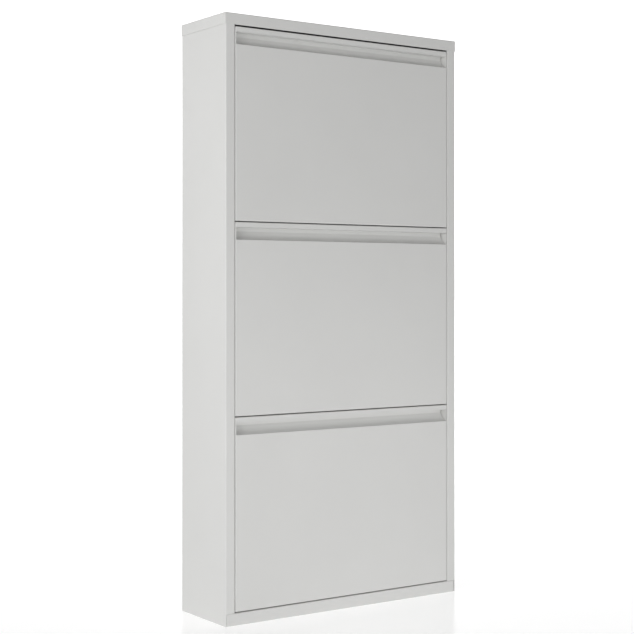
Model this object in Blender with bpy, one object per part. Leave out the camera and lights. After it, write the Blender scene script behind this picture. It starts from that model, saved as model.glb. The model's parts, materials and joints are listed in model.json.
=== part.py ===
"""Shoe cabinet: a shallow folded-steel carcass with three tilt-out flaps, each carrying a shoe tray.

Frame: +X to the right, +Y to the back, +Z up; origin on the floor under the centre of the cabinet.
"""

from math import cos, pi, radians, sin, tan

import bmesh
import bpy
from mathutils import Matrix, Vector

MM = 0.001

# Driving dimensions, in millimetres
HEIGHT = 1030.0
DEPTH = 150.0
BODY_WIDTH = 499.0
CAP_OVERHANG = 1.5
SHEET = 0.8
BEND = 1.6
SEAM = 0.4
FIT_GAP = 0.3
CUT_MARGIN = 5.0

FLAP_COUNT = 3
FLAP_PITCH = 329.0
FLAP_HEIGHT = 327.4
FLAP_WIDTH = 461.0
FLAP_BASE = 22.8
FLAP_FLANGE = 16.5

CAP_SKIRT = 19.4
BASE_TOP = 21.2
BASE_FLANGE = 20.0
SIDE_LIFT = 0.3

STILE_WIDTH = 18.0
STILE_RETURN = 24.0
BACK_FLANGE = 14.0

PIVOT_SETBACK = 7.5
PIVOT_RISE = 22.4
OPEN_ANGLE = radians(38.0)

LIP_HEIGHT = 8.8
WINDOW_HEIGHT = 21.4
CHANNEL_DEPTH = 17.0
CHANNEL_WALL = 6.6
CHANNEL_SAG_DEPTH, CHANNEL_SAG_DROP, CHANNEL_SAG_BEND = 12.0, 16.0, 20.0

TRAY_DEPTH = 120.0
TRAY_RISE = 12.8
FENCE_HEIGHT = 100.0
TRAY_HALF = 218.9
CHEEK_INNER = 219.5
CHEEK_RISE = 160.0

# Where things stand, worked out from the above
FRONT = -DEPTH / 2
BACK = DEPTH / 2
BODY_HALF = BODY_WIDTH / 2
CAP_HALF = BODY_HALF + CAP_OVERHANG
FLAP_HALF = FLAP_WIDTH / 2
STILE_EDGE = BODY_HALF - STILE_WIDTH
CAP_BOTTOM = HEIGHT - CAP_SKIRT
FACE_TOP = FLAP_HEIGHT - LIP_HEIGHT - WINDOW_HEIGHT
LIP_BOTTOM = FLAP_HEIGHT - LIP_HEIGHT

RETURN_BACK = FRONT + STILE_RETURN
STUD_RADIUS = 3.0
STUD_SHANK = 1.8
STUD_REACH = 120.0

BUFFER_RISE = 259.4
BUFFER_RADIUS = 3.2
BUFFER_NECK = 1.7
BUFFER_Y = FRONT + FLAP_FLANGE + FIT_GAP + BUFFER_RADIUS

PIN_RADIUS = 2.5
BUSH_BORE = PIN_RADIUS + FIT_GAP
BUSH_RADIUS = 4.7
BUSH_HOLE = BUSH_RADIUS + FIT_GAP
BUSH_FLANGE = 0.4
ROUND_STEPS = 16
SMALL_STEPS = 12

SCREW_X = 240.5
SCREW_Y = 55.0
SCREW_RADIUS = 1.5
SCREW_HEAD = 2.8
COLLAR_RADIUS = 3.4
TOP_FLANGE = 1024.0
TOP_FLANGE_HALF = 70.0

KEYHOLE_X = 180.0
KEYHOLE_HEIGHT = 980.0
KEYHOLE_RADIUS = 5.0
KEYHOLE_SLOT_HALF = 2.6
KEYHOLE_SLOT_RISE = 13.0

FLAP_NAMES = ("bottom", "middle", "top")
SIDES = (("left", -1), ("right", 1))


# Mesh helpers

def new_mesh(name, bm):
    """Turn a bmesh in millimetres into a mesh in metres with its faces pointing out."""
    bmesh.ops.remove_doubles(bm, verts=bm.verts, dist=0.0001)
    bmesh.ops.recalc_face_normals(bm, faces=bm.faces)
    bmesh.ops.scale(bm, vec=(MM, MM, MM), verts=bm.verts)
    mesh = bpy.data.meshes.new(name)
    bm.to_mesh(mesh)
    bm.free()
    return mesh


def box_bmesh(low, high):
    bm = bmesh.new()
    bmesh.ops.create_cube(bm, size=1.0)
    size = Vector(high) - Vector(low)
    middle = (Vector(high) + Vector(low)) / 2
    bmesh.ops.scale(bm, vec=size, verts=bm.verts)
    bmesh.ops.translate(bm, vec=middle, verts=bm.verts)
    return bm


def box(low, high):
    return new_mesh("box", box_bmesh(low, high))


def prism(outline, axis, start, end):
    """Extrude a closed 2D outline along X ('x': outline is y, z) or Z ('z': outline is x, y)."""
    bm = bmesh.new()
    if axis == "x":
        points = [(start, a, b) for a, b in outline]
        travel = (end - start, 0, 0)
    else:
        points = [(a, b, start) for a, b in outline]
        travel = (0, 0, end - start)
    face = bm.faces.new([bm.verts.new(p) for p in points])
    result = bmesh.ops.extrude_face_region(bm, geom=[face])
    moved = [item for item in result["geom"] if isinstance(item, bmesh.types.BMVert)]
    bmesh.ops.translate(bm, vec=travel, verts=moved)
    return new_mesh("prism", bm)


def turned(profile, axis, start=(0, 0, 0), steps=SMALL_STEPS):
    """Turn a closed outline of (along, radius) points about X, Y or Z, from start."""
    bm = bmesh.new()
    ring_points = [bm.verts.new((radius, 0, along)) for along, radius in profile]
    edges = [bm.edges.new((a, b)) for a, b in zip(ring_points, ring_points[1:])]
    if profile[0][1] > 0:
        edges.append(bm.edges.new((ring_points[-1], ring_points[0])))
    bmesh.ops.spin(bm, geom=ring_points + edges, axis=(0, 0, 1), cent=(0, 0, 0), dvec=(0, 0, 0),
                   angle=2 * pi, steps=steps, use_merge=True)
    turn = {"x": Matrix.Rotation(pi / 2, 3, "Y"), "y": Matrix.Rotation(-pi / 2, 3, "X"),
            "z": Matrix.Identity(3)}[axis]
    bmesh.ops.rotate(bm, cent=(0, 0, 0), matrix=turn, verts=bm.verts)
    bmesh.ops.translate(bm, vec=start, verts=bm.verts)
    return new_mesh("turned", bm)


def cylinder(axis, start, radius, length):
    """A plain cylinder, used to drill holes."""
    return turned([(0, 0), (0, radius), (length, radius), (length, 0)], axis, start, ROUND_STEPS)


def mirrored(mesh):
    """The same mesh on the other side of the cabinet's middle plane."""
    copy = mesh.copy()
    copy.transform(Matrix.Scale(-1, 4, (1, 0, 0)))
    copy.flip_normals()
    return copy


def combine(mesh, tools, operation):
    """Join tool meshes to a mesh (UNION) or cut them out of it (DIFFERENCE)."""
    body = bpy.data.objects.new("body", mesh)
    bpy.context.collection.objects.link(body)
    helpers = []
    for tool in tools:
        helper = bpy.data.objects.new("helper", tool)
        bpy.context.collection.objects.link(helper)
        helpers.append(helper)
        modifier = body.modifiers.new(operation, "BOOLEAN")
        modifier.operation = operation
        modifier.solver = "EXACT"
        modifier.object = helper
    graph = bpy.context.evaluated_depsgraph_get()
    result = bpy.data.meshes.new_from_object(body.evaluated_get(graph))
    for used in [body] + helpers:
        bpy.data.objects.remove(used)
    return result


def cut(mesh, *tools):
    return combine(mesh, tools, "DIFFERENCE")


def join(mesh, *tools):
    return combine(mesh, tools, "UNION")


def fold_path(corners, steps=3):
    """Centre line of a folded sheet: (a, b, bend radius) corners with each bend drawn as an arc."""
    path = []
    for index, (a, b, radius) in enumerate(corners):
        here = Vector((a, b))
        if radius == 0:
            path.append(here)
            continue
        before = (Vector(corners[index - 1][:2]) - here).normalized()
        after = (Vector(corners[index + 1][:2]) - here).normalized()
        half = before.angle(after) / 2
        centre = here + (before + after).normalized() * (radius / sin(half))
        start = here + before * (radius / tan(half)) - centre
        end = here + after * (radius / tan(half)) - centre
        sweep = start.angle_signed(end)
        for step in range(steps + 1):
            turn = Matrix.Rotation(-sweep * step / steps, 2)
            path.append(centre + turn @ start)
    return path


def sheet_outline(path, thickness):
    """Closed outline of a sheet of even thickness along its centre line."""
    left, right = [], []
    for index, point in enumerate(path):
        ahead = path[min(index + 1, len(path) - 1)] - point
        behind = point - path[max(index - 1, 0)]
        ahead = ahead if ahead.length > 0 else behind
        behind = behind if behind.length > 0 else ahead
        along = (ahead.normalized() + behind.normalized()).normalized()
        across = Vector((-along.y, along.x))
        mitre = thickness / 2 / max(across.dot(Vector((-behind.y, behind.x)).normalized()), 0.5)
        left.append(point + across * mitre)
        right.append(point - across * mitre)
    return [tuple(p) for p in left + right[::-1]]


def folded(corners, axis, start, end):
    return prism(sheet_outline(fold_path(corners), SHEET), axis, start, end)


def pan(low, high, open_face, flange=0.0):
    """Box folded from sheet, open on one face ('-z' or '+y'), with an inward flange if asked."""
    bm = box_bmesh(low, high)
    outward = {"-z": Vector((0, 0, -1)), "+y": Vector((0, 1, 0))}[open_face]
    bm.faces.ensure_lookup_table()
    bmesh.ops.recalc_face_normals(bm, faces=bm.faces)
    opening = max(bm.faces, key=lambda face: face.normal.dot(outward))
    if flange:
        bmesh.ops.inset_region(bm, faces=[opening], thickness=flange, use_even_offset=True)
    bmesh.ops.delete(bm, geom=[opening], context="FACES")
    folds = [edge for edge in bm.edges if len(edge.link_faces) == 2 and edge.calc_face_angle() > 0.1]
    bmesh.ops.bevel(bm, geom=folds, offset=BEND, segments=2, profile=0.5, affect="EDGES")
    bmesh.ops.recalc_face_normals(bm, faces=bm.faces)
    top = max(bm.faces, key=lambda face: face.calc_area())
    centre = (Vector(low) + Vector(high)) / 2
    if top.normal.dot(top.calc_center_median() - centre) < 0:
        bmesh.ops.reverse_faces(bm, faces=bm.faces)
    shell = new_shell(bm)
    holder = bpy.data.objects.new("holder", shell)
    bpy.context.collection.objects.link(holder)
    modifier = holder.modifiers.new("Thickness", "SOLIDIFY")
    modifier.thickness = SHEET * MM
    modifier.offset = -1.0
    modifier.use_even_offset = True
    graph = bpy.context.evaluated_depsgraph_get()
    result = bpy.data.meshes.new_from_object(holder.evaluated_get(graph))
    bpy.data.objects.remove(holder)
    return result


def new_shell(bm):
    """A mesh in metres from an open bmesh whose face directions are already right."""
    bmesh.ops.scale(bm, vec=(MM, MM, MM), verts=bm.verts)
    mesh = bpy.data.meshes.new("shell")
    bm.to_mesh(mesh)
    bm.free()
    return mesh


# Materials

def material(name, colour, roughness, metallic=0.0):
    made = bpy.data.materials.new(name)
    made.use_nodes = True
    shader = made.node_tree.nodes["Principled BSDF"]
    shader.inputs["Base Color"].default_value = (*colour, 1.0)
    shader.inputs["Roughness"].default_value = roughness
    shader.inputs["Metallic"].default_value = metallic
    made.diffuse_color = (*colour, 1.0)
    return made


def add(name, mesh, finish, parent=None):
    """Name a mesh as one node of the cabinet, shaded smooth between its sharp edges."""
    thing = bpy.data.objects.new(name, mesh)
    bpy.context.collection.objects.link(thing)
    if not mesh.materials:
        mesh.materials.append(finish)
    mesh.shade_smooth()
    mesh.set_sharp_from_angle(angle=radians(35))
    thing.parent = parent
    return thing


# Carcass

def flap_base(index):
    return FLAP_BASE + index * FLAP_PITCH


def side_panel():
    """Left side: wall, front stile and its return, back flange, top flange and bores."""
    wall = -(BODY_HALF - SHEET / 2)
    front = FRONT + SHEET / 2
    back = BACK - SHEET / 2
    stile = -(STILE_EDGE + SHEET / 2)
    bend = BEND - SHEET / 2
    corners = [(-(BODY_HALF - BACK_FLANGE), back, 0), (wall, back, bend), (wall, front, bend),
               (stile, front, bend), (stile, RETURN_BACK, 0)]
    panel = folded(corners, "z", SIDE_LIFT, TOP_FLANGE + 0.6)

    outer = -BODY_HALF - CUT_MARGIN
    inner = -STILE_EDGE + CUT_MARGIN
    before, behind = FRONT - CUT_MARGIN, BACK + CUT_MARGIN
    above = HEIGHT + CUT_MARGIN
    under_cap = CAP_BOTTOM - SEAM
    fold_inner = -(BODY_HALF - BEND + 0.1)
    corner_inner = fold_inner + 1.0
    corner_depth = FRONT + SHEET + 1.0
    low_notch = box((fold_inner, before, -CUT_MARGIN), (inner, behind, BASE_TOP + SEAM))
    top_notch = box((fold_inner, before, under_cap), (inner, behind, above))
    front_notch = box((outer, before, under_cap), (corner_inner, corner_depth, above))
    back_notch = box((outer, -corner_depth, under_cap), (corner_inner, behind, above))
    drills = []
    for i in range(FLAP_COUNT):
        drill_start = -STILE_EDGE - CUT_MARGIN
        pivot = (drill_start, FRONT + PIVOT_SETBACK, flap_base(i) + PIVOT_RISE)
        drills.append(cylinder("x", pivot, BUSH_HOLE, 2 * CUT_MARGIN))
        buffer = (drill_start, BUFFER_Y, flap_base(i) + BUFFER_RISE)
        drills.append(cylinder("x", buffer, BUFFER_NECK + FIT_GAP, 2 * CUT_MARGIN))
    panel = cut(panel, low_notch, top_notch, front_notch, back_notch, *drills)

    flange = box((wall - 0.1, -TOP_FLANGE_HALF, TOP_FLANGE - SHEET / 2),
                 (-STILE_EDGE, TOP_FLANGE_HALF, TOP_FLANGE + SHEET / 2))
    holes = [cylinder("z", (-SCREW_X, y, TOP_FLANGE - CUT_MARGIN), SCREW_RADIUS + FIT_GAP, 2 * CUT_MARGIN)
             for y in (-SCREW_Y, SCREW_Y)]
    return cut(join(panel, flange), *holes)


def top_cap():
    """Lid with a skirt all round and four threaded collars under it."""
    lid = pan((-CAP_HALF, FRONT, CAP_BOTTOM), (CAP_HALF, BACK, HEIGHT), "-z")
    collars = [collar(x, y) for x in (-SCREW_X, SCREW_X) for y in (-SCREW_Y, SCREW_Y)]
    return join(lid, *collars)


def collar(x, y):
    """A threaded collar, closed at the top where it meets the lid."""
    bottom, closed, top = TOP_FLANGE + SHEET / 2 + 0.4, HEIGHT - SHEET / 2 - 0.6, HEIGHT - SHEET / 2
    bore = SCREW_RADIUS + FIT_GAP
    profile = [(top, 0), (top, COLLAR_RADIUS), (bottom, COLLAR_RADIUS), (bottom, bore), (closed, bore),
               (closed, 0)]
    return turned(profile, "z", (x, y, 0), ROUND_STEPS)


def base_panel():
    """Base pan that stands on its inward flange; its front is the low rail under the flaps."""
    half = BODY_HALF - BEND - 0.3
    return pan((-half, FRONT, 0), (half, BACK, BASE_TOP), "-z", BASE_FLANGE)


def back_panel():
    """Back sheet with two keyhole slots for wall screws."""
    face = BACK - SHEET - 0.5
    sheet = box((-BODY_HALF + 3, face - SHEET, BASE_TOP + SEAM), (BODY_HALF - 3, face, HEIGHT - 3))
    keyholes = []
    for x in (-KEYHOLE_X, KEYHOLE_X):
        start = face - CUT_MARGIN
        keyholes.append(cylinder("y", (x, start, KEYHOLE_HEIGHT), KEYHOLE_RADIUS, 2 * CUT_MARGIN))
        keyholes.append(box((x - KEYHOLE_SLOT_HALF, start - 0.5, KEYHOLE_HEIGHT),
                            (x + KEYHOLE_SLOT_HALF, face + CUT_MARGIN + 0.5,
                             KEYHOLE_HEIGHT + KEYHOLE_SLOT_RISE)))
    return cut(sheet, *keyholes)


def cap_screw():
    """Pan-head screw, head down, with its shank up through the flange."""
    head = TOP_FLANGE - SHEET / 2 - FIT_GAP
    tip = HEIGHT - SHEET - 1.0
    profile = [(head - 1.8, 0), (head - 1.8, 1.8), (head - 1.2, SCREW_HEAD), (head, SCREW_HEAD),
               (head, SCREW_RADIUS), (tip - 0.8, SCREW_RADIUS), (tip, 1.0), (tip, 0)]
    return turned(profile, "z")


def hinge_bush():
    """Left bush: flange in the gap beside the flap, barrel out through the return."""
    face = -(STILE_EDGE - FIT_GAP)
    beyond = -(STILE_EDGE + SHEET + FIT_GAP)
    end = beyond - 7.0
    flange = face - end + BUSH_FLANGE
    profile = [(0, BUSH_BORE), (0, BUSH_RADIUS - 0.4), (beyond - end, BUSH_RADIUS + 0.6),
               (beyond - end, BUSH_RADIUS), (face - end, BUSH_RADIUS), (face - end, 6.0),
               (flange, 6.0), (flange, BUSH_BORE)]
    return turned(profile, "x", (end, 0, 0), ROUND_STEPS)


def stop_buffer():
    """Left rubber buffer: bulb outside the return, neck through it, head behind the closed flap."""
    bulb = -(STILE_EDGE + SHEET + FIT_GAP)
    head = -(STILE_EDGE - FIT_GAP)
    start = bulb - 2.4
    seat, collar, tip = head - start, bulb - start, head - start + 5.0
    profile = [(0, 0), (0, 1.4), (collar, 2.6), (collar, BUFFER_NECK), (seat, BUFFER_NECK),
               (seat, BUFFER_RADIUS), (tip - 0.8, BUFFER_RADIUS), (tip, BUFFER_RADIUS - 0.8), (tip, 0)]
    return turned(profile, "x", (start, 0, 0))


# Flap: local frame with its origin on the hinge axis, y to the back, z up

def flap_point(depth, rise):
    """A place on the flap, from its front face and its lower edge, in the hinge's frame."""
    return depth - PIVOT_SETBACK, rise - PIVOT_RISE


def flap_corners(points):
    return [(*flap_point(depth, rise), bend) for depth, rise, bend in points]


def door_panel():
    front, bottom = flap_point(0, 0)
    back, top = flap_point(FLAP_FLANGE, FLAP_HEIGHT)
    door = pan((-FLAP_HALF, front, bottom), (FLAP_HALF, back, top), "+y")
    low, high = flap_point(0, FACE_TOP)[1], flap_point(0, LIP_BOTTOM)[1]
    inside = FLAP_HALF - 1.3
    window = box((-inside, front - CUT_MARGIN, low), (inside, front + CUT_MARGIN, high))
    bore_start = -FLAP_HALF - CUT_MARGIN
    bore = cylinder("x", (bore_start, 0, 0), PIN_RADIUS + FIT_GAP, -2 * bore_start)
    return cut(door, window, bore)


def handle_channel():
    """Trough behind the window: flange, ceiling, back wall, floor that flattens forward, flange."""
    flange = SHEET * 1.5 + FIT_GAP
    ceiling = LIP_BOTTOM + SHEET / 2
    points = [(flange, FLAP_HEIGHT - 2.4, 0), (flange, ceiling, 0.8), (CHANNEL_DEPTH, ceiling, 1.2),
              (CHANNEL_DEPTH, LIP_BOTTOM - CHANNEL_WALL, 3.0),
              (CHANNEL_SAG_DEPTH, LIP_BOTTOM - CHANNEL_SAG_DROP, CHANNEL_SAG_BEND),
              (flange, FACE_TOP - 0.7, 1.2), (flange, FACE_TOP - 13, 0)]
    half = FLAP_HALF - SHEET - FIT_GAP
    return folded(flap_corners(points), "x", -half, half)


def shoe_tray():
    """Ledge and rear fence with a hem folded forward, fixed behind the face."""
    flange = SHEET * 1.5 + FIT_GAP
    fence_top = TRAY_RISE + FENCE_HEIGHT
    points = [(flange, TRAY_RISE + 28, 0), (flange, TRAY_RISE, 1.2), (TRAY_DEPTH, TRAY_RISE, 1.2),
              (TRAY_DEPTH, fence_top, 1.2), (TRAY_DEPTH - 6, fence_top, 1.2),
              (TRAY_DEPTH - 6, fence_top - 6, 0)]
    return folded(flap_corners(points), "x", -TRAY_HALF, TRAY_HALF)


def stud_place():
    """Where the stop stud sits on the closed flap so that it meets the return when fully open."""
    reach = RETURN_BACK + STUD_RADIUS + 0.1 - (FRONT + PIVOT_SETBACK)
    y = reach * cos(OPEN_ANGLE) + STUD_REACH * sin(OPEN_ANGLE)
    z = STUD_REACH * cos(OPEN_ANGLE) - reach * sin(OPEN_ANGLE)
    return y, z


def tray_cheek():
    """Left side plate of the tray with a flange turned out behind the face."""
    near = SHEET + FIT_GAP
    bottom = TRAY_RISE - SHEET / 2
    fence_top = TRAY_RISE + FENCE_HEIGHT
    rear = TRAY_DEPTH + SHEET / 2
    outline = [(near + 0.2, bottom), (rear, bottom), (rear, fence_top), (rear - 34, fence_top + 16),
               (near + 14, CHEEK_RISE), (near + 0.2, CHEEK_RISE)]
    outline = [flap_point(*point) for point in outline]
    plate = prism(outline, "x", -CHEEK_INNER - SHEET, -CHEEK_INNER)
    y, z = flap_point(near, bottom)
    flange = box((-FLAP_HALF + 1.4, y, z + 0.3), (-CHEEK_INNER - 0.2, y + SHEET, z + CHEEK_RISE - 16))
    hole_start = (-CHEEK_INNER - CUT_MARGIN, *stud_place())
    hole = cylinder("x", hole_start, STUD_SHANK + FIT_GAP, 2 * CUT_MARGIN)
    return cut(join(plate, flange), hole)


def hinge_pin():
    """Left pin: head inside the flap's flange, shank out into the bush."""
    head = -(FLAP_HALF - SHEET - FIT_GAP)
    tip = -(STILE_EDGE + 7.0)
    length = head - tip
    profile = [(0, 0), (0, PIN_RADIUS - 0.7), (0.7, PIN_RADIUS), (length, PIN_RADIUS),
               (length, 4.2), (length + 1.0, 4.2), (length + 1.5, 3.6), (length + 1.5, 0)]
    return turned(profile, "x", (tip, 0, 0))


def stop_stud():
    """Left stud: barrel outside the cheek, shank through it, flat head inside."""
    outside = -(CHEEK_INNER + SHEET + FIT_GAP)
    tip = -(STILE_EDGE + SHEET + 1.0)
    inside = -(CHEEK_INNER - FIT_GAP)
    barrel = outside - tip
    through = inside - tip
    profile = [(0, 0), (0, STUD_RADIUS - 0.6), (0.6, STUD_RADIUS), (barrel, STUD_RADIUS),
               (barrel, STUD_SHANK), (through, STUD_SHANK), (through, 3.4), (through + 0.5, 3.0),
               (through + 0.5, 0)]
    return turned(profile, "x", (tip, *stud_place()))


# Assembly

def clear_scene():
    for thing in list(bpy.data.objects):
        bpy.data.objects.remove(thing)


def place(thing, x, y, z):
    thing.location = (x * MM, y * MM, z * MM)


def build_carcass(paint, zinc, nylon, rubber):
    left = side_panel()
    add("side_panel_left", left, paint)
    add("side_panel_right", mirrored(left), paint)
    add("top_cap", top_cap(), paint)
    add("base_panel", base_panel(), paint)
    add("back_panel", back_panel(), paint)
    screw = cap_screw()
    for side, sign in SIDES:
        for end, way in (("front", -1), ("back", 1)):
            place(add(f"cap_screw_{end}_{side}", screw, zinc), sign * SCREW_X, way * SCREW_Y, 0)
    bush = hinge_bush()
    bushes = {"left": bush, "right": mirrored(bush)}
    buffer = stop_buffer()
    buffers = {"left": buffer, "right": mirrored(buffer)}
    for index, flap in enumerate(FLAP_NAMES):
        for side, _ in SIDES:
            bush = add(f"hinge_bush_{flap}_{side}", bushes[side], nylon)
            place(bush, 0, FRONT + PIVOT_SETBACK, flap_base(index) + PIVOT_RISE)
            pad = add(f"stop_buffer_{flap}_{side}", buffers[side], rubber)
            place(pad, 0, BUFFER_Y, flap_base(index) + BUFFER_RISE)


def build_flaps(paint, zinc):
    middle_pieces = {"door_panel": (door_panel(), paint), "handle_channel": (handle_channel(), paint),
                     "shoe_tray": (shoe_tray(), paint)}
    side_pieces = {"tray_cheek": (tray_cheek(), paint), "hinge_pin": (hinge_pin(), zinc),
                   "stop_stud": (stop_stud(), zinc)}
    mirrored_pieces = {name: mirrored(mesh) for name, (mesh, _) in side_pieces.items()}
    for index, flap in enumerate(FLAP_NAMES):
        axis = bpy.data.objects.new(f"hinge_axis_{flap}", None)
        bpy.context.collection.objects.link(axis)
        place(axis, 0, FRONT + PIVOT_SETBACK, flap_base(index) + PIVOT_RISE)
        for name, (mesh, finish) in middle_pieces.items():
            add(f"{name}_{flap}", mesh, finish, axis)
        for name, (mesh, finish) in side_pieces.items():
            add(f"{name}_{flap}_left", mesh, finish, axis)
            add(f"{name}_{flap}_right", mirrored_pieces[name], finish, axis)


def main():
    clear_scene()
    paint = material("light_grey_powder_coat", (0.62, 0.62, 0.60), 0.45)
    zinc = material("zinc_plated_steel", (0.55, 0.55, 0.53), 0.35, 1.0)
    nylon = material("white_nylon", (0.80, 0.79, 0.75), 0.5)
    rubber = material("clear_grey_rubber", (0.45, 0.45, 0.44), 0.7)
    build_carcass(paint, zinc, nylon, rubber)
    build_flaps(paint, zinc)


main()
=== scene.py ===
"""Shoe cabinet in light grey powder-coated sheet steel: finished pieces, materials, light and camera.

Lengths below are in millimetres in the cabinet's own frame: +X to its right, +Y to its back, +Z up.
"""

import json
from math import cos, pi, radians, sin, tan

import bmesh
import bpy
from mathutils import Matrix, Vector


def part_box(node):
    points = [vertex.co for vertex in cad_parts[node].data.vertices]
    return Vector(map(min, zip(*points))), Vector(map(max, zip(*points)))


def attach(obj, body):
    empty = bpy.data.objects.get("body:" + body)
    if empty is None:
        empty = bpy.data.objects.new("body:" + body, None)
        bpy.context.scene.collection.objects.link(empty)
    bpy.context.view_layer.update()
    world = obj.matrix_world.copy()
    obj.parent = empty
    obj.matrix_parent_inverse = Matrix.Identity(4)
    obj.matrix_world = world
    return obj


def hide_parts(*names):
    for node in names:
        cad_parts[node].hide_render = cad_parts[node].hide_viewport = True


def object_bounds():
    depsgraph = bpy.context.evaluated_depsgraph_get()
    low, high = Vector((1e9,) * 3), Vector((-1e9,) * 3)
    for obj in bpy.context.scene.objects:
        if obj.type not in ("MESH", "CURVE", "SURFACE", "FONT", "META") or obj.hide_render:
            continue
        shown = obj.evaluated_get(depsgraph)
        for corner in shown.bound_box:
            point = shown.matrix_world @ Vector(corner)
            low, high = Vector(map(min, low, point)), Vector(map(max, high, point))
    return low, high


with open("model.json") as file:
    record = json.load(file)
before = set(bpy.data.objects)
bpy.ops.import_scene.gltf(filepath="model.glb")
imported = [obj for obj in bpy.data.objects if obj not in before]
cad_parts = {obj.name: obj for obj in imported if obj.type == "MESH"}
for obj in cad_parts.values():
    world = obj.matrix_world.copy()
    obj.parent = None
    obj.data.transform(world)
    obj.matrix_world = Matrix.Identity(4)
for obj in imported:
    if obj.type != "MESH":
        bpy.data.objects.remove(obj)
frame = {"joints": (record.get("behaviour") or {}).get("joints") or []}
cad_low, cad_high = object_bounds()

MM = 0.001

# Sheet and fits
SHEET = 0.8
BEND = 1.6
TIGHT_BEND = 1.2
VISIBLE_SEAM = 0.035
RAIL_END_SEAM = 0.3
FIT_GAP = 0.3
CUT_MARGIN = 5.0
EDGE_BREAK = {"powder_coat": 0.1, "zinc_steel": 0.06, "nylon": 0.08, "buffer_rubber": 0.05}
BEND_STEPS = 6
ROUND_STEPS = 40
SMALL_STEPS = 32


def node_box(name):
    low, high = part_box(name)
    return Vector(low) / MM, Vector(high) / MM


# Carcass, measured on the frame
CAP_HALF = cad_high[0] / MM
FRONT = cad_low[1] / MM
BACK = cad_high[1] / MM
HEIGHT = cad_high[2] / MM
SIDE_LOW, SIDE_HIGH = node_box("side_panel_left")
BODY_HALF = -SIDE_LOW.x
STILE_EDGE = -SIDE_HIGH.x
SIDE_LIFT = SIDE_LOW.z
SIDE_TOP = SIDE_HIGH.z
STILE_RETURN = 24.0
RETURN_BACK = FRONT + STILE_RETURN
BACK_FLANGE = 14.0
CAP_BOTTOM = node_box("top_cap")[0].z
BASE_HIGH = node_box("base_panel")[1]
BASE_TOP = BASE_HIGH.z
BASE_HALF = BASE_HIGH.x
BASE_FLANGE = 20.0
BACK_LOW, BACK_HIGH = node_box("back_panel")

TOP_FLANGE = SIDE_TOP - 0.6
TOP_FLANGE_HALF = 70.0
CORNER_LAP = 1.0
SCREW_X, SCREW_Y, SCREW_RADIUS, SCREW_HEAD = 240.5, 55.0, 1.5, 2.8
SCREW_TIP_GAP, SCREW_POINT = 1.0, 0.8
THREAD_START, THREAD_PITCH, THREAD_DEPTH = 1.0, 0.5, 0.2
CROSS_HALF, CROSS_SLOT_HALF, CROSS_FLOOR = 1.5, 0.3, 0.9
COLLAR_RADIUS, COLLAR_GAP, COLLAR_ROOF = 3.4, 0.4, 0.6
KEYHOLE_X, KEYHOLE_HEIGHT = 180.0, 980.0
KEYHOLE_RADIUS, KEYHOLE_SLOT_HALF, KEYHOLE_SLOT_RISE = 5.0, 2.6, 13.0

# Flap, in the hinge's frame: origin on the axis, y to the back, z up
PIVOTS = {joint["child"].replace("flap_", ""): Vector(joint["pos_m"]) / MM for joint in frame["joints"]}
DOOR_LOW, DOOR_HIGH = node_box("door_panel_bottom")
PIVOT_SETBACK = PIVOTS["bottom"].y - FRONT
PIVOT_RISE = PIVOTS["bottom"].z - DOOR_LOW.z
FLAP_HALF = DOOR_HIGH.x
FLAP_HEIGHT = DOOR_HIGH.z - DOOR_LOW.z
FLAP_FLANGE = DOOR_HIGH.y - FRONT
OPEN_ANGLE = radians(38.0)
LIP_HEIGHT, WINDOW_HEIGHT = 8.8, 21.4
LIP_BOTTOM = FLAP_HEIGHT - LIP_HEIGHT
FACE_TOP = LIP_BOTTOM - WINDOW_HEIGHT
WINDOW_SIDE, WINDOW_CORNER = 1.3, 0.9
FIXED_DEPTH = SHEET * 1.5 + FIT_GAP
CHANNEL_DEPTH, CHANNEL_WALL = 17.0, 6.6
CHANNEL_SAG_DEPTH, CHANNEL_SAG_DROP, CHANNEL_SAG_BEND = 12.0, 16.0, 20.0
CHANNEL_TOP_GAP, CHANNEL_END_GAP, CHANNEL_FLANGE = 2.4, 0.8, 13
TRAY_DEPTH, TRAY_RISE, FENCE_HEIGHT = 120.0, 12.8, 100.0
TRAY_FLANGE, TRAY_HEM = 28, 6
TRAY_HALF, CHEEK_INNER, CHEEK_RISE = 218.9, 219.5, 160.0
PIN_RADIUS, PIN_HEAD_RADIUS, PIN_REACH = 2.5, 4.2, 7.0
STUD_RADIUS, STUD_SHANK, STUD_HEAD, STUD_REACH = 3.0, 1.8, 3.4, 120.0
BUSH_BORE, BUSH_RADIUS, BUSH_RIM, BUSH_FLANGE = PIN_RADIUS + FIT_GAP, 4.7, 6.0, 0.4
BUSH_BARREL, BUSH_BARB, BUSH_SLOT_HALF = 7.0, 0.6, 0.5
BUFFER_RISE, BUFFER_RADIUS, BUFFER_NECK = 259.4, 3.2, 1.7
BUFFER_BULB, BUFFER_HEAD, BUFFER_ROUND = 2.4, 5.0, 1.2
BUFFER_Y = FRONT + FLAP_FLANGE + FIT_GAP + BUFFER_RADIUS

SIDES = (("left", -1), ("right", 1))

# Paint
PAINT_DARK = (0.680, 0.680, 0.667)
PAINT_LIGHT = (0.698, 0.698, 0.685)

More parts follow.
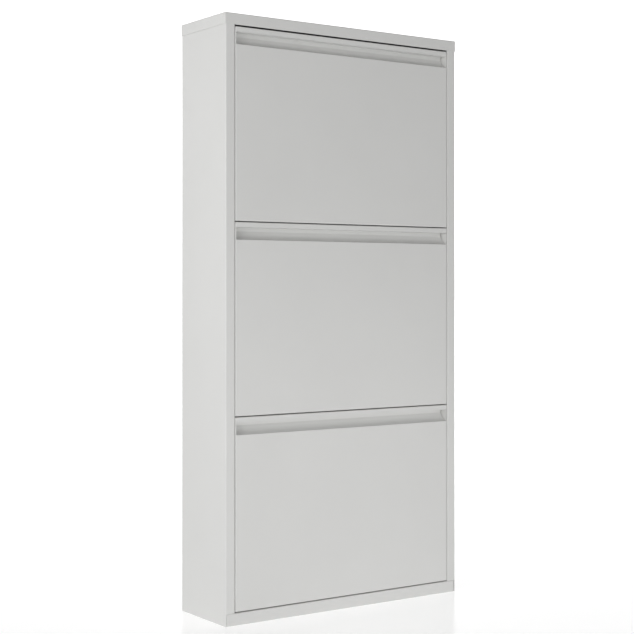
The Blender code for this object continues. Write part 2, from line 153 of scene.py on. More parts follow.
# Studio, in metres; the stops of the world are (sine of the height above the horizon, grey)
CAMERA_PLACE = (-1.472, -2.112, 0.567)
CAMERA_TURN = radians(-34.65)
CAMERA_LENS, CAMERA_SENSOR, CAMERA_SHIFT = 80.5, 36.0, -0.045
WORLD_STRENGTH = 1.8
BRIGHT_STOPS = [(0.0, 0.335), (0.12, 1.0), (0.35, 0.115), (0.9, 0.155)]
DIM_STOPS = [(0.0, 0.335), (0.12, 0.22), (0.35, 0.085), (0.9, 0.055)]
DIM_WAY, DIM_SPAN = (0.7, -0.714, 0.0), (0.1, 0.8)
BACKDROP_STOPS = [(0.0, 0.7), (0.12, 1.0), (0.35, 0.115), (0.9, 0.155)]
BACKDROP_WAY, BACKDROP_SPAN = (0.61, 0.79, 0.0), (0.80, 0.95)
FLOOR_REACH = 60.0
FLOOR_ROUGHNESS = 0.18
FLOOR_GLOW = 0.41


# Mesh helpers

def new_mesh(name, bm, heal=True):
    """Turn a bmesh in millimetres into a mesh in metres."""
    if heal:
        bmesh.ops.remove_doubles(bm, verts=bm.verts, dist=0.0001)
        bmesh.ops.recalc_face_normals(bm, faces=bm.faces)
    bmesh.ops.scale(bm, vec=(MM, MM, MM), verts=bm.verts)
    mesh = bpy.data.meshes.new(name)
    bm.to_mesh(mesh)
    bm.free()
    return mesh


def box_bmesh(low, high):
    bm = bmesh.new()
    bmesh.ops.create_cube(bm, size=1.0)
    bmesh.ops.scale(bm, vec=Vector(high) - Vector(low), verts=bm.verts)
    bmesh.ops.translate(bm, vec=(Vector(high) + Vector(low)) / 2, verts=bm.verts)
    return bm


def box(low, high):
    return new_mesh("box", box_bmesh(low, high))


AXIS_POINT = {"x": lambda along, a, b: (along, a, b), "y": lambda along, a, b: (a, along, b),
              "z": lambda along, a, b: (a, b, along)}


def prism(outline, axis, start, end):
    """Extrude a closed 2D outline along an axis; the outline is in the other two, in order."""
    bm = bmesh.new()
    point = AXIS_POINT[axis]
    face = bm.faces.new([bm.verts.new(point(start, a, b)) for a, b in outline])
    result = bmesh.ops.extrude_face_region(bm, geom=[face])
    moved = [item for item in result["geom"] if isinstance(item, bmesh.types.BMVert)]
    bmesh.ops.translate(bm, vec=point(end - start, 0, 0), verts=moved)
    return new_mesh("prism", bm)


def turned(profile, axis, start=(0, 0, 0), steps=SMALL_STEPS):
    """Turn a closed outline of (along, radius) points about X, Y or Z, from start."""
    bm = bmesh.new()
    ring_points = [bm.verts.new((radius, 0, along)) for along, radius in profile]
    edges = [bm.edges.new((a, b)) for a, b in zip(ring_points, ring_points[1:])]
    if profile[0][1] > 0:
        edges.append(bm.edges.new((ring_points[-1], ring_points[0])))
    bmesh.ops.spin(bm, geom=ring_points + edges, axis=(0, 0, 1), cent=(0, 0, 0), dvec=(0, 0, 0),
                   angle=2 * pi, steps=steps, use_merge=True)
    turn = {"x": Matrix.Rotation(pi / 2, 3, "Y"), "y": Matrix.Rotation(-pi / 2, 3, "X"),
            "z": Matrix.Identity(3)}[axis]
    bmesh.ops.rotate(bm, cent=(0, 0, 0), matrix=turn, verts=bm.verts)
    bmesh.ops.translate(bm, vec=start, verts=bm.verts)
    return new_mesh("turned", bm)


def cylinder(axis, start, radius, length):
    """A plain cylinder, used only to drill holes."""
    return turned([(0, 0), (0, radius), (length, radius), (length, 0)], axis, start, ROUND_STEPS)


def mirrored(mesh):
    copy = mesh.copy()
    copy.transform(Matrix.Scale(-1, 4, (1, 0, 0)))
    copy.flip_normals()
    return copy


def shifted(mesh, offset):
    copy = mesh.copy()
    copy.transform(Matrix.Translation(Vector(offset) * MM))
    return copy


def evaluated(mesh, make_modifiers, helpers=()):
    """The mesh with the modifiers that make_modifiers adds to its holder applied."""
    holder = bpy.data.objects.new("holder", mesh)
    bpy.context.collection.objects.link(holder)
    tools = []
    for helper in helpers:
        tool = bpy.data.objects.new("tool", helper)
        bpy.context.collection.objects.link(tool)
        tools.append(tool)
    make_modifiers(holder, tools)
    graph = bpy.context.evaluated_depsgraph_get()
    result = bpy.data.meshes.new_from_object(holder.evaluated_get(graph))
    for used in [holder] + tools:
        bpy.data.objects.remove(used)
    return result


def combine(mesh, helpers, operation):
    """Join helper meshes to a mesh (UNION) or cut them out of it (DIFFERENCE)."""
    def add_booleans(holder, tools):
        for tool in tools:
            modifier = holder.modifiers.new(operation, "BOOLEAN")
            modifier.operation = operation
            modifier.solver = "EXACT"
            modifier.object = tool
    return evaluated(mesh, add_booleans, helpers)


def cut(mesh, *helpers):
    return combine(mesh, helpers, "DIFFERENCE")


def join(mesh, *helpers):
    return combine(mesh, helpers, "UNION")


def eased(mesh, width):
    """Break the sharp edges and shade the flats flat, as paint does on cut sheet."""
    mesh.shade_smooth()

    def add_edges(holder, _):
        bevel = holder.modifiers.new("Edges", "BEVEL")
        bevel.width = width * MM
        bevel.segments = 2
        bevel.limit_method = "ANGLE"
        bevel.angle_limit = radians(38)
        bevel.use_clamp_overlap = True
        normals = holder.modifiers.new("Normals", "WEIGHTED_NORMAL")
        normals.keep_sharp = True
        normals.weight = 60
    return evaluated(mesh, add_edges)


def fold_path(corners, steps=BEND_STEPS):
    """Centre line of a folded sheet: (a, b, bend radius) corners with each bend drawn as an arc."""
    path = []
    for index, (a, b, radius) in enumerate(corners):
        here = Vector((a, b))
        if radius == 0:
            path.append(here)
            continue
        before = (Vector(corners[index - 1][:2]) - here).normalized()
        after = (Vector(corners[(index + 1) % len(corners)][:2]) - here).normalized()
        half = before.angle(after) / 2
        centre = here + (before + after).normalized() * (radius / sin(half))
        start = here + before * (radius / tan(half)) - centre
        end = here + after * (radius / tan(half)) - centre
        sweep = start.angle_signed(end)
        for step in range(steps + 1):
            path.append(centre + Matrix.Rotation(-sweep * step / steps, 2) @ start)
    return path


def sheet_outline(path, thickness):
    """Closed outline of a sheet of even thickness along its centre line."""
    left, right = [], []
    for index, point in enumerate(path):
        ahead = path[min(index + 1, len(path) - 1)] - point
        behind = point - path[max(index - 1, 0)]
        ahead = ahead if ahead.length > 0 else behind
        behind = behind if behind.length > 0 else ahead
        along = (ahead.normalized() + behind.normalized()).normalized()
        across = Vector((-along.y, along.x))
        mitre = thickness / 2 / max(across.dot(Vector((-behind.y, behind.x)).normalized()), 0.5)
        left.append(point + across * mitre)
        right.append(point - across * mitre)
    return [tuple(p) for p in left + right[::-1]]


def folded(corners, axis, start, end):
    return prism(sheet_outline(fold_path(corners), SHEET), axis, start, end)


def pan(low, high, open_face, flange=0.0):
    """Box folded from sheet, open on one face ('-z' or '+y'), with an inward flange if asked."""
    bm = box_bmesh(low, high)
    outward = {"-z": Vector((0, 0, -1)), "+y": Vector((0, 1, 0))}[open_face]
    bm.faces.ensure_lookup_table()
    bmesh.ops.recalc_face_normals(bm, faces=bm.faces)
    opening = max(bm.faces, key=lambda face: face.normal.dot(outward))
    if flange:
        bmesh.ops.inset_region(bm, faces=[opening], thickness=flange, use_even_offset=True)
    bmesh.ops.delete(bm, geom=[opening], context="FACES")
    folds = [edge for edge in bm.edges if len(edge.link_faces) == 2 and edge.calc_face_angle() > 0.1]
    bmesh.ops.bevel(bm, geom=folds, offset=BEND, segments=BEND_STEPS, profile=0.5, affect="EDGES")
    bmesh.ops.recalc_face_normals(bm, faces=bm.faces)
    largest = max(bm.faces, key=lambda face: face.calc_area())
    centre = (Vector(low) + Vector(high)) / 2
    if largest.normal.dot(largest.calc_center_median() - centre) < 0:
        bmesh.ops.reverse_faces(bm, faces=bm.faces)
    shell = new_mesh("shell", bm, heal=False)

    def thicken(holder, _):
        modifier = holder.modifiers.new("Thickness", "SOLIDIFY")
        modifier.thickness = SHEET * MM
        modifier.offset = -1.0
        modifier.use_even_offset = True
    return evaluated(shell, thicken)


def rounded(points, radius, steps=BEND_STEPS):
    """Closed outline with its corners rounded."""
    return [tuple(p) for p in fold_path([(a, b, radius) for a, b in points], steps)]


# Materials

def shader_material(name, roughness, metallic=0.0):
    made = bpy.data.materials.new(name)
    made.use_nodes = True
    tree = made.node_tree
    shader = tree.nodes["Principled BSDF"]
    shader.inputs["Roughness"].default_value = roughness
    shader.inputs["Metallic"].default_value = metallic
    coordinates = tree.nodes.new("ShaderNodeTexCoord")
    return made, tree, shader, coordinates.outputs["Object"]


def noise(tree, place, scale, detail=2.0, stretch=None):
    """Noise at a scale of so many cells to the metre."""
    if stretch:
        mapping = tree.nodes.new("ShaderNodeMapping")
        mapping.inputs["Scale"].default_value = stretch
        tree.links.new(place, mapping.inputs["Vector"])
        place = mapping.outputs["Vector"]
    texture = tree.nodes.new("ShaderNodeTexNoise")
    texture.inputs["Scale"].default_value = scale
    texture.inputs["Detail"].default_value = detail
    tree.links.new(place, texture.inputs["Vector"])
    return texture.outputs["Fac"]


def ramp(tree, value, stops):
    """Blend of greys or colours along a value."""
    node = tree.nodes.new("ShaderNodeValToRGB")
    elements = node.color_ramp.elements
    while len(elements) < len(stops):
        elements.new(0.5)
    for element, (position, colour) in zip(elements, stops):
        element.position = position
        element.color = (*colour, 1.0) if isinstance(colour, tuple) else (colour, colour, colour, 1.0)
    tree.links.new(value, node.inputs["Fac"])
    return node.outputs["Color"]


def bumps(tree, shader, layers):
    """Stack bump layers of (height, strength, distance in mm) under a shader's normal."""
    below = None
    for height, strength, distance in layers:
        node = tree.nodes.new("ShaderNodeBump")
        node.inputs["Strength"].default_value = strength
        node.inputs["Distance"].default_value = distance * MM
        tree.links.new(height, node.inputs["Height"])
        if below:
            tree.links.new(below, node.inputs["Normal"])
        below = node.outputs["Normal"]
    tree.links.new(below, shader.inputs["Normal"])


def powder_coat():
    """Satin powder coat: orange peel, a finer grain and slight clouds of tone and gloss."""
    made, tree, shader, place = shader_material("powder_coat_light_grey", 0.45)
    cloud = noise(tree, place, 7.0, 4.0)
    tone = ramp(tree, cloud, [(0.3, PAINT_DARK), (0.7, PAINT_LIGHT)])
    tree.links.new(tone, shader.inputs["Base Color"])
    gloss = noise(tree, place, 55.0, 3.0)
    tree.links.new(ramp(tree, gloss, [(0.3, 0.41), (0.7, 0.49)]), shader.inputs["Roughness"])
    peel = noise(tree, place, 620.0, 2.0)
    grain = noise(tree, place, 2600.0, 2.0)
    wave = noise(tree, place, 16.0, 1.0)
    bumps(tree, shader, [(wave, 0.10, 0.25), (peel, 0.22, 0.05), (grain, 0.12, 0.02)])
    return made


def zinc_plate():
    """Bright zinc plating: fine drawn lines and a faint cool to warm bloom."""
    made, tree, shader, place = shader_material("zinc_plated_steel", 0.32, 1.0)
    bloom = noise(tree, place, 160.0, 3.0)
    tree.links.new(ramp(tree, bloom, [(0.3, (0.60, 0.62, 0.65)), (0.7, (0.69, 0.68, 0.64))]),
                   shader.inputs["Base Color"])
    haze = noise(tree, place, 420.0, 2.0)
    tree.links.new(ramp(tree, haze, [(0.3, 0.26), (0.7, 0.42)]), shader.inputs["Roughness"])
    lines = noise(tree, place, 900.0, 2.0, (0.08, 1.0, 1.0))
    bumps(tree, shader, [(lines, 0.25, 0.02)])
    return made


def nylon():
    """Natural white nylon with a fine moulded grain."""
    made, tree, shader, place = shader_material("nylon_white", 0.5)
    tone = noise(tree, place, 240.0, 2.0)
    tree.links.new(ramp(tree, tone, [(0.3, (0.76, 0.75, 0.70)), (0.7, (0.82, 0.81, 0.77))]),
                   shader.inputs["Base Color"])
    tree.links.new(ramp(tree, noise(tree, place, 700.0), [(0.3, 0.44), (0.7, 0.58)]),
                   shader.inputs["Roughness"])
    shader.inputs["Subsurface Weight"].default_value = 0.15
    shader.inputs["Subsurface Scale"].default_value = 0.001
    bumps(tree, shader, [(noise(tree, place, 1800.0), 0.2, 0.02)])
    return made


def rubber():
    """Translucent grey rubber, slightly mottled."""
    made, tree, shader, place = shader_material("rubber_grey", 0.6)
    tone = noise(tree, place, 420.0, 3.0)
    tree.links.new(ramp(tree, tone, [(0.3, (0.40, 0.40, 0.39)), (0.7, (0.50, 0.50, 0.48))]),
                   shader.inputs["Base Color"])
    tree.links.new(ramp(tree, noise(tree, place, 900.0), [(0.3, 0.5), (0.7, 0.72)]),
                   shader.inputs["Roughness"])
    shader.inputs["Subsurface Weight"].default_value = 0.2
    shader.inputs["Subsurface Scale"].default_value = 0.001
    bumps(tree, shader, [(noise(tree, place, 1500.0), 0.25, 0.03)])
    return made


FINISHES = {"powder_coat": powder_coat(), "zinc_steel": zinc_plate(), "nylon": nylon(),
            "buffer_rubber": rubber()}


def publish(node, mesh, slot, body):
    """Show a finished mesh in place of its CAD node, moving with its body."""
    mesh = eased(mesh, EDGE_BREAK[slot])
    mesh.materials.clear()
    mesh.materials.append(FINISHES[slot])
    piece = bpy.data.objects.new(f"{node}_finished", mesh)
    bpy.context.collection.objects.link(piece)
    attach(piece, body)
    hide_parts(node)
    return piece


# Carcass pieces

def side_panel():
    """Left side: wall, front stile and its return, back flange, top flange and bores."""
    wall = -(BODY_HALF - SHEET / 2)
    front = FRONT + SHEET / 2
    back = BACK - SHEET / 2
    stile = -(STILE_EDGE + SHEET / 2)
    bend = BEND - SHEET / 2
    corners = [(-(BODY_HALF - BACK_FLANGE), back, 0), (wall, back, bend), (wall, front, bend),
               (stile, front, bend), (stile, RETURN_BACK, 0)]
    panel = folded(corners, "z", SIDE_LIFT, SIDE_TOP)

    outer, inner = -BODY_HALF - CUT_MARGIN, -STILE_EDGE + CUT_MARGIN
    before, behind = FRONT - CUT_MARGIN, BACK + CUT_MARGIN
    above = HEIGHT + CUT_MARGIN
    under_cap = CAP_BOTTOM - VISIBLE_SEAM
    fold_inner = -(BODY_HALF - BEND + 0.1)
    rail_end = fold_inner - RAIL_END_SEAM
    corner_inner = fold_inner + CORNER_LAP
    corner_depth = FRONT + SHEET + CORNER_LAP
    notches = [box((rail_end, before, -CUT_MARGIN), (inner, behind, BASE_TOP + VISIBLE_SEAM)),
               box((fold_inner, before, under_cap), (inner, behind, above)),
               box((outer, before, under_cap), (corner_inner, corner_depth, above)),
               box((outer, -corner_depth, under_cap), (corner_inner, behind, above))]
    drills = []
    start = -STILE_EDGE - CUT_MARGIN
    for pivot in PIVOTS.values():
        drills.append(cylinder("x", (start, pivot.y, pivot.z), BUSH_RADIUS + FIT_GAP, 2 * CUT_MARGIN))
        buffer = (start, BUFFER_Y, pivot.z - PIVOT_RISE + BUFFER_RISE)
        drills.append(cylinder("x", buffer, BUFFER_NECK + FIT_GAP, 2 * CUT_MARGIN))
    panel = cut(panel, *notches, *drills)

    flange = box((wall - 0.1, -TOP_FLANGE_HALF, TOP_FLANGE - SHEET / 2),
                 (-STILE_EDGE, TOP_FLANGE_HALF, TOP_FLANGE + SHEET / 2))
    hole_start = TOP_FLANGE - CUT_MARGIN
    holes = [cylinder("z", (-SCREW_X, y, hole_start), SCREW_RADIUS + FIT_GAP, 2 * CUT_MARGIN)
             for y in (-SCREW_Y, SCREW_Y)]
    return cut(join(panel, flange), *holes)


def top_cap():
    """Lid with a skirt all round and four threaded collars under it."""
    lid = pan((-CAP_HALF, FRONT, CAP_BOTTOM), (CAP_HALF, BACK, HEIGHT), "-z")
    collars = [collar(x, y) for x in (-SCREW_X, SCREW_X) for y in (-SCREW_Y, SCREW_Y)]
    return join(lid, *collars)


def collar(x, y):
    """A threaded collar, closed at the top where it meets the lid."""
    bottom = TOP_FLANGE + SHEET / 2 + COLLAR_GAP
    top = HEIGHT - SHEET / 2
    closed = top - COLLAR_ROOF
    bore = SCREW_RADIUS + FIT_GAP
    profile = [(top, 0), (top, COLLAR_RADIUS), (bottom, COLLAR_RADIUS), (bottom, bore), (closed, bore),
               (closed, 0)]
    return turned(profile, "z", (x, y, 0), ROUND_STEPS)


def base_panel():
    """Base pan on its inward flange; its front is the low rail under the flaps."""
    return pan((-BASE_HALF, FRONT, 0), (BASE_HALF, BACK, BASE_TOP), "-z", BASE_FLANGE)


def back_panel():
    """Back sheet with two keyhole slots for wall screws."""
    sheet = box(BACK_LOW, BACK_HIGH)
    keyholes = []
    start, end = BACK_LOW.y - CUT_MARGIN, BACK_HIGH.y + CUT_MARGIN
    for x in (-KEYHOLE_X, KEYHOLE_X):
        keyholes.append(cylinder("y", (x, start, KEYHOLE_HEIGHT), KEYHOLE_RADIUS, end - start))
        half, top = KEYHOLE_SLOT_HALF, KEYHOLE_HEIGHT + KEYHOLE_SLOT_RISE
        arc = [(x + half * cos(pi * k / 12), top - half + half * sin(pi * k / 12)) for k in range(13)]
        slot = [(x - half, KEYHOLE_HEIGHT), (x + half, KEYHOLE_HEIGHT)] + arc
        keyholes.append(prism(slot, "y", start - 0.5, end + 0.5))
    return cut(sheet, *keyholes)


def cap_screw():
    """Pan-head screw with a cross recess, head down, threaded shank up through the flange."""
    head = TOP_FLANGE - SHEET / 2 - FIT_GAP
    tip = HEIGHT - SHEET - SCREW_TIP_GAP
    profile = [(head - 1.8, 0), (head - 1.8, 1.3), (head - 1.65, 2.0), (head - 1.2, 2.6),
               (head - 0.7, SCREW_HEAD), (head, SCREW_HEAD), (head, SCREW_RADIUS)]
    thread = head + THREAD_START
    while thread + THREAD_PITCH < tip - SCREW_POINT:
        profile += [(thread, SCREW_RADIUS), (thread + THREAD_PITCH / 2, SCREW_RADIUS - THREAD_DEPTH)]
        thread += THREAD_PITCH
    profile += [(tip - SCREW_POINT, SCREW_RADIUS), (tip, 1.0), (tip, 0)]
    screw = turned(profile, "z")
    below, floor = head - 3.0, head - CROSS_FLOOR
    arms = [box((-CROSS_HALF, -CROSS_SLOT_HALF, below), (CROSS_HALF, CROSS_SLOT_HALF, floor)),
            box((-CROSS_SLOT_HALF, -CROSS_HALF, below), (CROSS_SLOT_HALF, CROSS_HALF, floor))]
    return cut(screw, *arms)


def hinge_bush():
    """Left bush: flange in the gap beside the flap, split barrel out through the return."""
    face = -(STILE_EDGE - FIT_GAP)
    beyond = -(STILE_EDGE + SHEET + FIT_GAP)
    end = beyond - BUSH_BARREL
    barb, neck, flange = beyond - end, face - end, face - end + BUSH_FLANGE
    profile = [(0, BUSH_BORE + 0.2), (0, BUSH_RADIUS - 0.5), (2.2, BUSH_RADIUS + 0.1),
               (barb - 0.4, BUSH_RADIUS + BUSH_BARB), (barb, BUSH_RADIUS + BUSH_BARB),
               (barb, BUSH_RADIUS), (neck, BUSH_RADIUS), (neck, BUSH_RIM), (flange - 0.15, BUSH_RIM),
               (flange, BUSH_RIM - 0.15), (flange, BUSH_BORE + 0.2), (flange - 0.2, BUSH_BORE),
               (0.2, BUSH_BORE)]
    bush = turned(profile, "x", (end, 0, 0), ROUND_STEPS)
    slot_start, slot_end = end - 1, beyond - 1.2
    slots = [box((slot_start, -BUSH_SLOT_HALF, -9), (slot_end, BUSH_SLOT_HALF, 9)),
             box((slot_start, -9, -BUSH_SLOT_HALF), (slot_end, 9, BUSH_SLOT_HALF))]
    return cut(bush, *slots)


def stop_buffer():
    """Left rubber buffer: bulb outside the return, neck through it, head behind the closed flap."""
    bulb = -(STILE_EDGE + SHEET + FIT_GAP)
    head = -(STILE_EDGE - FIT_GAP)
    start = bulb - BUFFER_BULB
    seat, neck, tip = head - start, bulb - start, head - start + BUFFER_HEAD
    curve = [k * pi / 12 for k in range(7)]
    profile = [(0, 0), (0, 1.0), (0.3, 1.35), (neck - 0.6, 2.6), (neck, 2.5), (neck, BUFFER_NECK),
               (seat, BUFFER_NECK), (seat, BUFFER_RADIUS - 0.2), (seat + 0.3, BUFFER_RADIUS)]
    profile += [(tip - BUFFER_ROUND + BUFFER_ROUND * sin(angle),
                 BUFFER_RADIUS - BUFFER_ROUND + BUFFER_ROUND * cos(angle)) for angle in curve]
    return turned(profile + [(tip, 0)], "x", (start, 0, 0))


# Flap pieces, in the hinge's frame

def flap_point(depth, rise):
    """A place on the flap, from its front face and its lower edge, in the hinge's frame."""
    return depth - PIVOT_SETBACK, rise - PIVOT_RISE


def flap_corners(points):
    return [(*flap_point(depth, rise), bend) for depth, rise, bend in points]


def door_panel():
    """Folded pan with the handle's window in its face and a bore for the pins."""
    front, bottom = flap_point(0, 0)
    back, top = flap_point(FLAP_FLANGE, FLAP_HEIGHT)
    door = pan((-FLAP_HALF, front, bottom), (FLAP_HALF, back, top), "+y")
    low, high = flap_point(0, FACE_TOP)[1], flap_point(0, LIP_BOTTOM)[1]
    inside = FLAP_HALF - WINDOW_SIDE
    corners = [(-inside, low), (inside, low), (inside, high), (-inside, high)]
    outline = rounded(corners, WINDOW_CORNER)
    window = prism(outline, "y", front - CUT_MARGIN, front + CUT_MARGIN)
    bore_start = -FLAP_HALF - CUT_MARGIN
    bore = cylinder("x", (bore_start, 0, 0), PIN_RADIUS + FIT_GAP, -2 * bore_start)
    return cut(door, window, bore)


def handle_channel():
    """Trough behind the window: flange, ceiling, back wall, floor that flattens forward, flange."""
    ceiling = LIP_BOTTOM + SHEET / 2
    points = [(FIXED_DEPTH, FLAP_HEIGHT - CHANNEL_TOP_GAP, 0), (FIXED_DEPTH, ceiling, 0.8),
              (CHANNEL_DEPTH, ceiling, TIGHT_BEND), (CHANNEL_DEPTH, LIP_BOTTOM - CHANNEL_WALL, 3.0),
              (CHANNEL_SAG_DEPTH, LIP_BOTTOM - CHANNEL_SAG_DROP, CHANNEL_SAG_BEND),
              (FIXED_DEPTH, FACE_TOP - 0.7, TIGHT_BEND), (FIXED_DEPTH, FACE_TOP - CHANNEL_FLANGE, 0)]
    half = FLAP_HALF - SHEET - CHANNEL_END_GAP
    return folded(flap_corners(points), "x", -half, half)


def shoe_tray():
    """Ledge and rear fence with a hem folded forward, fixed behind the face."""
    fence_top = TRAY_RISE + FENCE_HEIGHT
    points = [(FIXED_DEPTH, TRAY_RISE + TRAY_FLANGE, 0), (FIXED_DEPTH, TRAY_RISE, TIGHT_BEND),
              (TRAY_DEPTH, TRAY_RISE, TIGHT_BEND), (TRAY_DEPTH, fence_top, TIGHT_BEND),
              (TRAY_DEPTH - TRAY_HEM, fence_top, TIGHT_BEND),
              (TRAY_DEPTH - TRAY_HEM, fence_top - TRAY_HEM, 0)]
    return folded(flap_corners(points), "x", -TRAY_HALF, TRAY_HALF)


def stud_place():
    """Where the stop stud sits on the closed flap so that it meets the return when fully open."""
    reach = RETURN_BACK + STUD_RADIUS + 0.1 - (FRONT + PIVOT_SETBACK)
    return (reach * cos(OPEN_ANGLE) + STUD_REACH * sin(OPEN_ANGLE),
            STUD_REACH * cos(OPEN_ANGLE) - reach * sin(OPEN_ANGLE))


def tray_cheek():
    """Left side plate of the tray with a flange turned out behind the face."""
    near = SHEET + FIT_GAP
    bottom = TRAY_RISE - SHEET / 2
    fence_top = TRAY_RISE + FENCE_HEIGHT
    rear = TRAY_DEPTH + SHEET / 2
    outline = [(near + 0.2, bottom), (rear, bottom), (rear, fence_top), (rear - 34, fence_top + 16),
               (near + 14, CHEEK_RISE), (near + 0.2, CHEEK_RISE)]
    radii = (0, 3, 5, 14, 8, 0)
    outline = [tuple(p) for p in fold_path([(*flap_point(*p), r) for p, r in zip(outline, radii)])]
    plate = prism(outline, "x", -CHEEK_INNER - SHEET, -CHEEK_INNER)
    y, z = flap_point(near, bottom)
    flange = box((-FLAP_HALF + 1.4, y, z + 0.3), (-CHEEK_INNER - 0.2, y + SHEET, z + CHEEK_RISE - 16))
    hole_start = (-CHEEK_INNER - CUT_MARGIN, *stud_place())
    hole = cylinder("x", hole_start, STUD_SHANK + FIT_GAP, 2 * CUT_MARGIN)
    return cut(join(plate, flange), hole)


def hinge_pin():
    """Left pin: domed head inside the flap's flange, chamfered shank out into the bush."""
    head = -(FLAP_HALF - SHEET - FIT_GAP)
    tip = -(STILE_EDGE + PIN_REACH)
    length = head - tip
    profile = [(0, 0), (0, PIN_RADIUS - 0.7), (0.7, PIN_RADIUS), (length, PIN_RADIUS),
               (length, PIN_HEAD_RADIUS), (length + 0.7, PIN_HEAD_RADIUS), (length + 1.15, 3.9),
               (length + 1.4, 3.2), (length + 1.5, 0)]
    return turned(profile, "x", (tip, 0, 0))


def stop_stud():
    """Left stud: barrel outside the cheek, shank through it, riveted head inside."""
    outside = -(CHEEK_INNER + SHEET + FIT_GAP)
    tip = -(STILE_EDGE + SHEET + 1.0)
    inside = -(CHEEK_INNER - FIT_GAP)
    barrel = outside - tip
    through = inside - tip
    profile = [(0, 0), (0, STUD_RADIUS - 0.6), (0.6, STUD_RADIUS), (barrel, STUD_RADIUS),
               (barrel, STUD_SHANK), (through, STUD_SHANK), (through, STUD_HEAD),
               (through + 0.2, STUD_HEAD), (through + 0.4, 2.9), (through + 0.5, 2.0),
               (through + 0.5, 0)]
    return turned(profile, "x", (tip, *stud_place()))


# Assembly

def build_carcass():
    left = side_panel()
    publish("side_panel_left", left, "powder_coat", "carcass")
    publish("side_panel_right", mirrored(left), "powder_coat", "carcass")
    publish("top_cap", top_cap(), "powder_coat", "carcass")
    publish("base_panel", base_panel(), "powder_coat", "carcass")
    publish("back_panel", back_panel(), "powder_coat", "carcass")
    screw = cap_screw()
    for side, sign in SIDES:
        for end, way in (("front", -1), ("back", 1)):
            mesh = shifted(screw, (sign * SCREW_X, way * SCREW_Y, 0))
            publish(f"cap_screw_{end}_{side}", mesh, "zinc_steel", "carcass")
    bush, buffer = hinge_bush(), stop_buffer()
    bushes = {"left": bush, "right": mirrored(bush)}
    buffers = {"left": buffer, "right": mirrored(buffer)}
    for flap, pivot in PIVOTS.items():
        for side, _ in SIDES:
            publish(f"hinge_bush_{flap}_{side}", shifted(bushes[side], (0, pivot.y, pivot.z)),
                    "nylon", "carcass")
            place = (0, BUFFER_Y, pivot.z - PIVOT_RISE + BUFFER_RISE)
            publish(f"stop_buffer_{flap}_{side}", shifted(buffers[side], place),
                    "buffer_rubber", "carcass")


def build_flaps():
    middle_pieces = {"door_panel": door_panel(), "handle_channel": handle_channel(),
                     "shoe_tray": shoe_tray()}
    side_pieces = {"tray_cheek": (tray_cheek(), "powder_coat"), "hinge_pin": (hinge_pin(), "zinc_steel"),
                   "stop_stud": (stop_stud(), "zinc_steel")}
    for flap, pivot in PIVOTS.items():
        body = f"flap_{flap}"
        for name, mesh in middle_pieces.items():
            publish(f"{name}_{flap}", shifted(mesh, pivot), "powder_coat", body)
        for name, (mesh, slot) in side_pieces.items():
            publish(f"{name}_{flap}_left", shifted(mesh, pivot), slot, body)
            publish(f"{name}_{flap}_right", shifted(mirrored(mesh), pivot), slot, body)


# Studio

def make_camera():
    data = bpy.data.cameras.new("camera")
    data.sensor_width = CAMERA_SENSOR
    data.lens = CAMERA_LENS
    data.shift_y = CAMERA_SHIFT
    data.clip_start, data.clip_end = 0.05, 200.0
    camera = bpy.data.objects.new("camera", data)
    bpy.context.collection.objects.link(camera)
    camera.location = CAMERA_PLACE
    camera.rotation_euler = (radians(90), 0, CAMERA_TURN)
    bpy.context.scene.camera = camera


def blend_towards(tree, direction, way, span, near, far):
    """Colour that is near round one direction and far elsewhere."""
    towards = tree.nodes.new("ShaderNodeVectorMath")
    towards.operation = "DOT_PRODUCT"
    towards.inputs[1].default_value = way
    tree.links.new(direction, towards.inputs[0])
    share = tree.nodes.new("ShaderNodeMapRange")
    share.interpolation_type = "SMOOTHSTEP"
    share.inputs["From Min"].default_value, share.inputs["From Max"].default_value = span
    tree.links.new(towards.outputs["Value"], share.inputs["Value"])
    blend = tree.nodes.new("ShaderNodeMix")
    blend.data_type = "RGBA"
    tree.links.new(share.outputs["Result"], blend.inputs["Factor"])
    tree.links.new(far, blend.inputs["A"])
    tree.links.new(near, blend.inputs["B"])
    return blend.outputs["Result"]


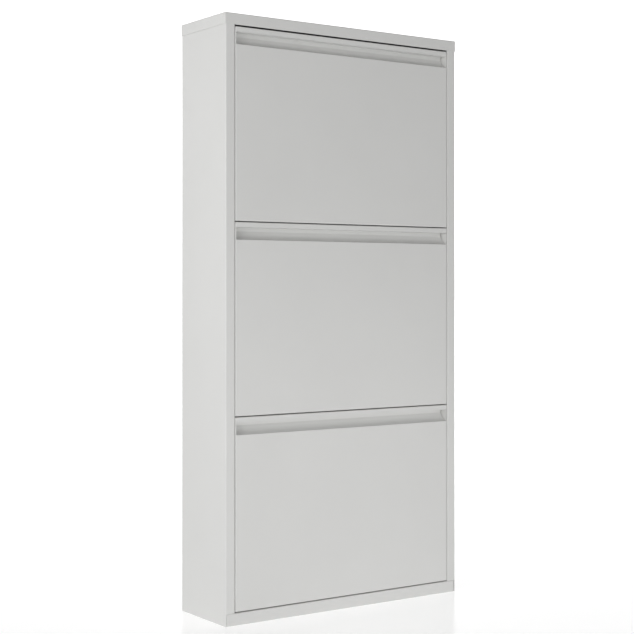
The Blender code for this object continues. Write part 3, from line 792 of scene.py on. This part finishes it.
def make_world():
    """White studio: bright low down, dark overhead, dimmer to the front right, white behind."""
    world = bpy.data.worlds.new("studio")
    bpy.context.scene.world = world
    world.use_nodes = True
    tree = world.node_tree
    background = tree.nodes["Background"]
    coordinates = tree.nodes.new("ShaderNodeTexCoord")
    direction = coordinates.outputs["Generated"]
    split = tree.nodes.new("ShaderNodeSeparateXYZ")
    tree.links.new(direction, split.inputs["Vector"])
    bright = ramp(tree, split.outputs["Z"], BRIGHT_STOPS)
    dim = ramp(tree, split.outputs["Z"], DIM_STOPS)
    backdrop = ramp(tree, split.outputs["Z"], BACKDROP_STOPS)
    lit = blend_towards(tree, direction, DIM_WAY, DIM_SPAN, dim, bright)
    lit = blend_towards(tree, direction, BACKDROP_WAY, BACKDROP_SPAN, backdrop, lit)
    tree.links.new(lit, background.inputs["Color"])
    background.inputs["Strength"].default_value = WORLD_STRENGTH


def area_light(name, place, aim, width, height, power, spread=radians(180)):
    """A rectangular light that faces its aim; spread narrows its beam."""
    data = bpy.data.lights.new(name, "AREA")
    data.shape = "RECTANGLE"
    data.size, data.size_y = width, height
    data.energy = power
    data.spread = spread
    light = bpy.data.objects.new(name, data)
    bpy.context.collection.objects.link(light)
    light.location = place
    light.rotation_euler = (Vector(aim) - Vector(place)).to_track_quat("-Z", "Y").to_euler()


def make_floor():
    """Large smooth white floor with a slight gloss."""
    bm = bmesh.new()
    bmesh.ops.create_grid(bm, x_segments=4, y_segments=4, size=FLOOR_REACH)
    mesh = bpy.data.meshes.new("floor")
    bm.to_mesh(mesh)
    bm.free()
    made, tree, shader, place = shader_material("floor_white", FLOOR_ROUGHNESS)
    tone = noise(tree, place, 3.0, 2.0)
    tree.links.new(ramp(tree, tone, [(0.3, 0.90), (0.7, 0.915)]), shader.inputs["Base Color"])
    shader.inputs["Emission Color"].default_value = (1, 1, 1, 1)
    shader.inputs["Emission Strength"].default_value = FLOOR_GLOW
    mesh.materials.append(made)
    floor = bpy.data.objects.new("floor", mesh)
    bpy.context.collection.objects.link(floor)


def make_studio():
    bpy.context.scene.view_settings.view_transform = "Standard"
    make_camera()
    make_world()
    make_floor()
    area_light("side_left", (-2.1, -0.72, 0.66), (-0.2, 0.0, 0.38), 1.2, 1.1, 13.1)
    area_light("low_front", (0.35, -1.5, 0.36), (0.12, 0.0, 0.04), 1.0, 0.3, 0.4, radians(60))
    area_light("far_front", (-0.5, -2.4, 0.3), (0.0, 0.0, 0.85), 1.4, 0.3, 7.4)


build_carcass()
build_flaps()
make_studio()
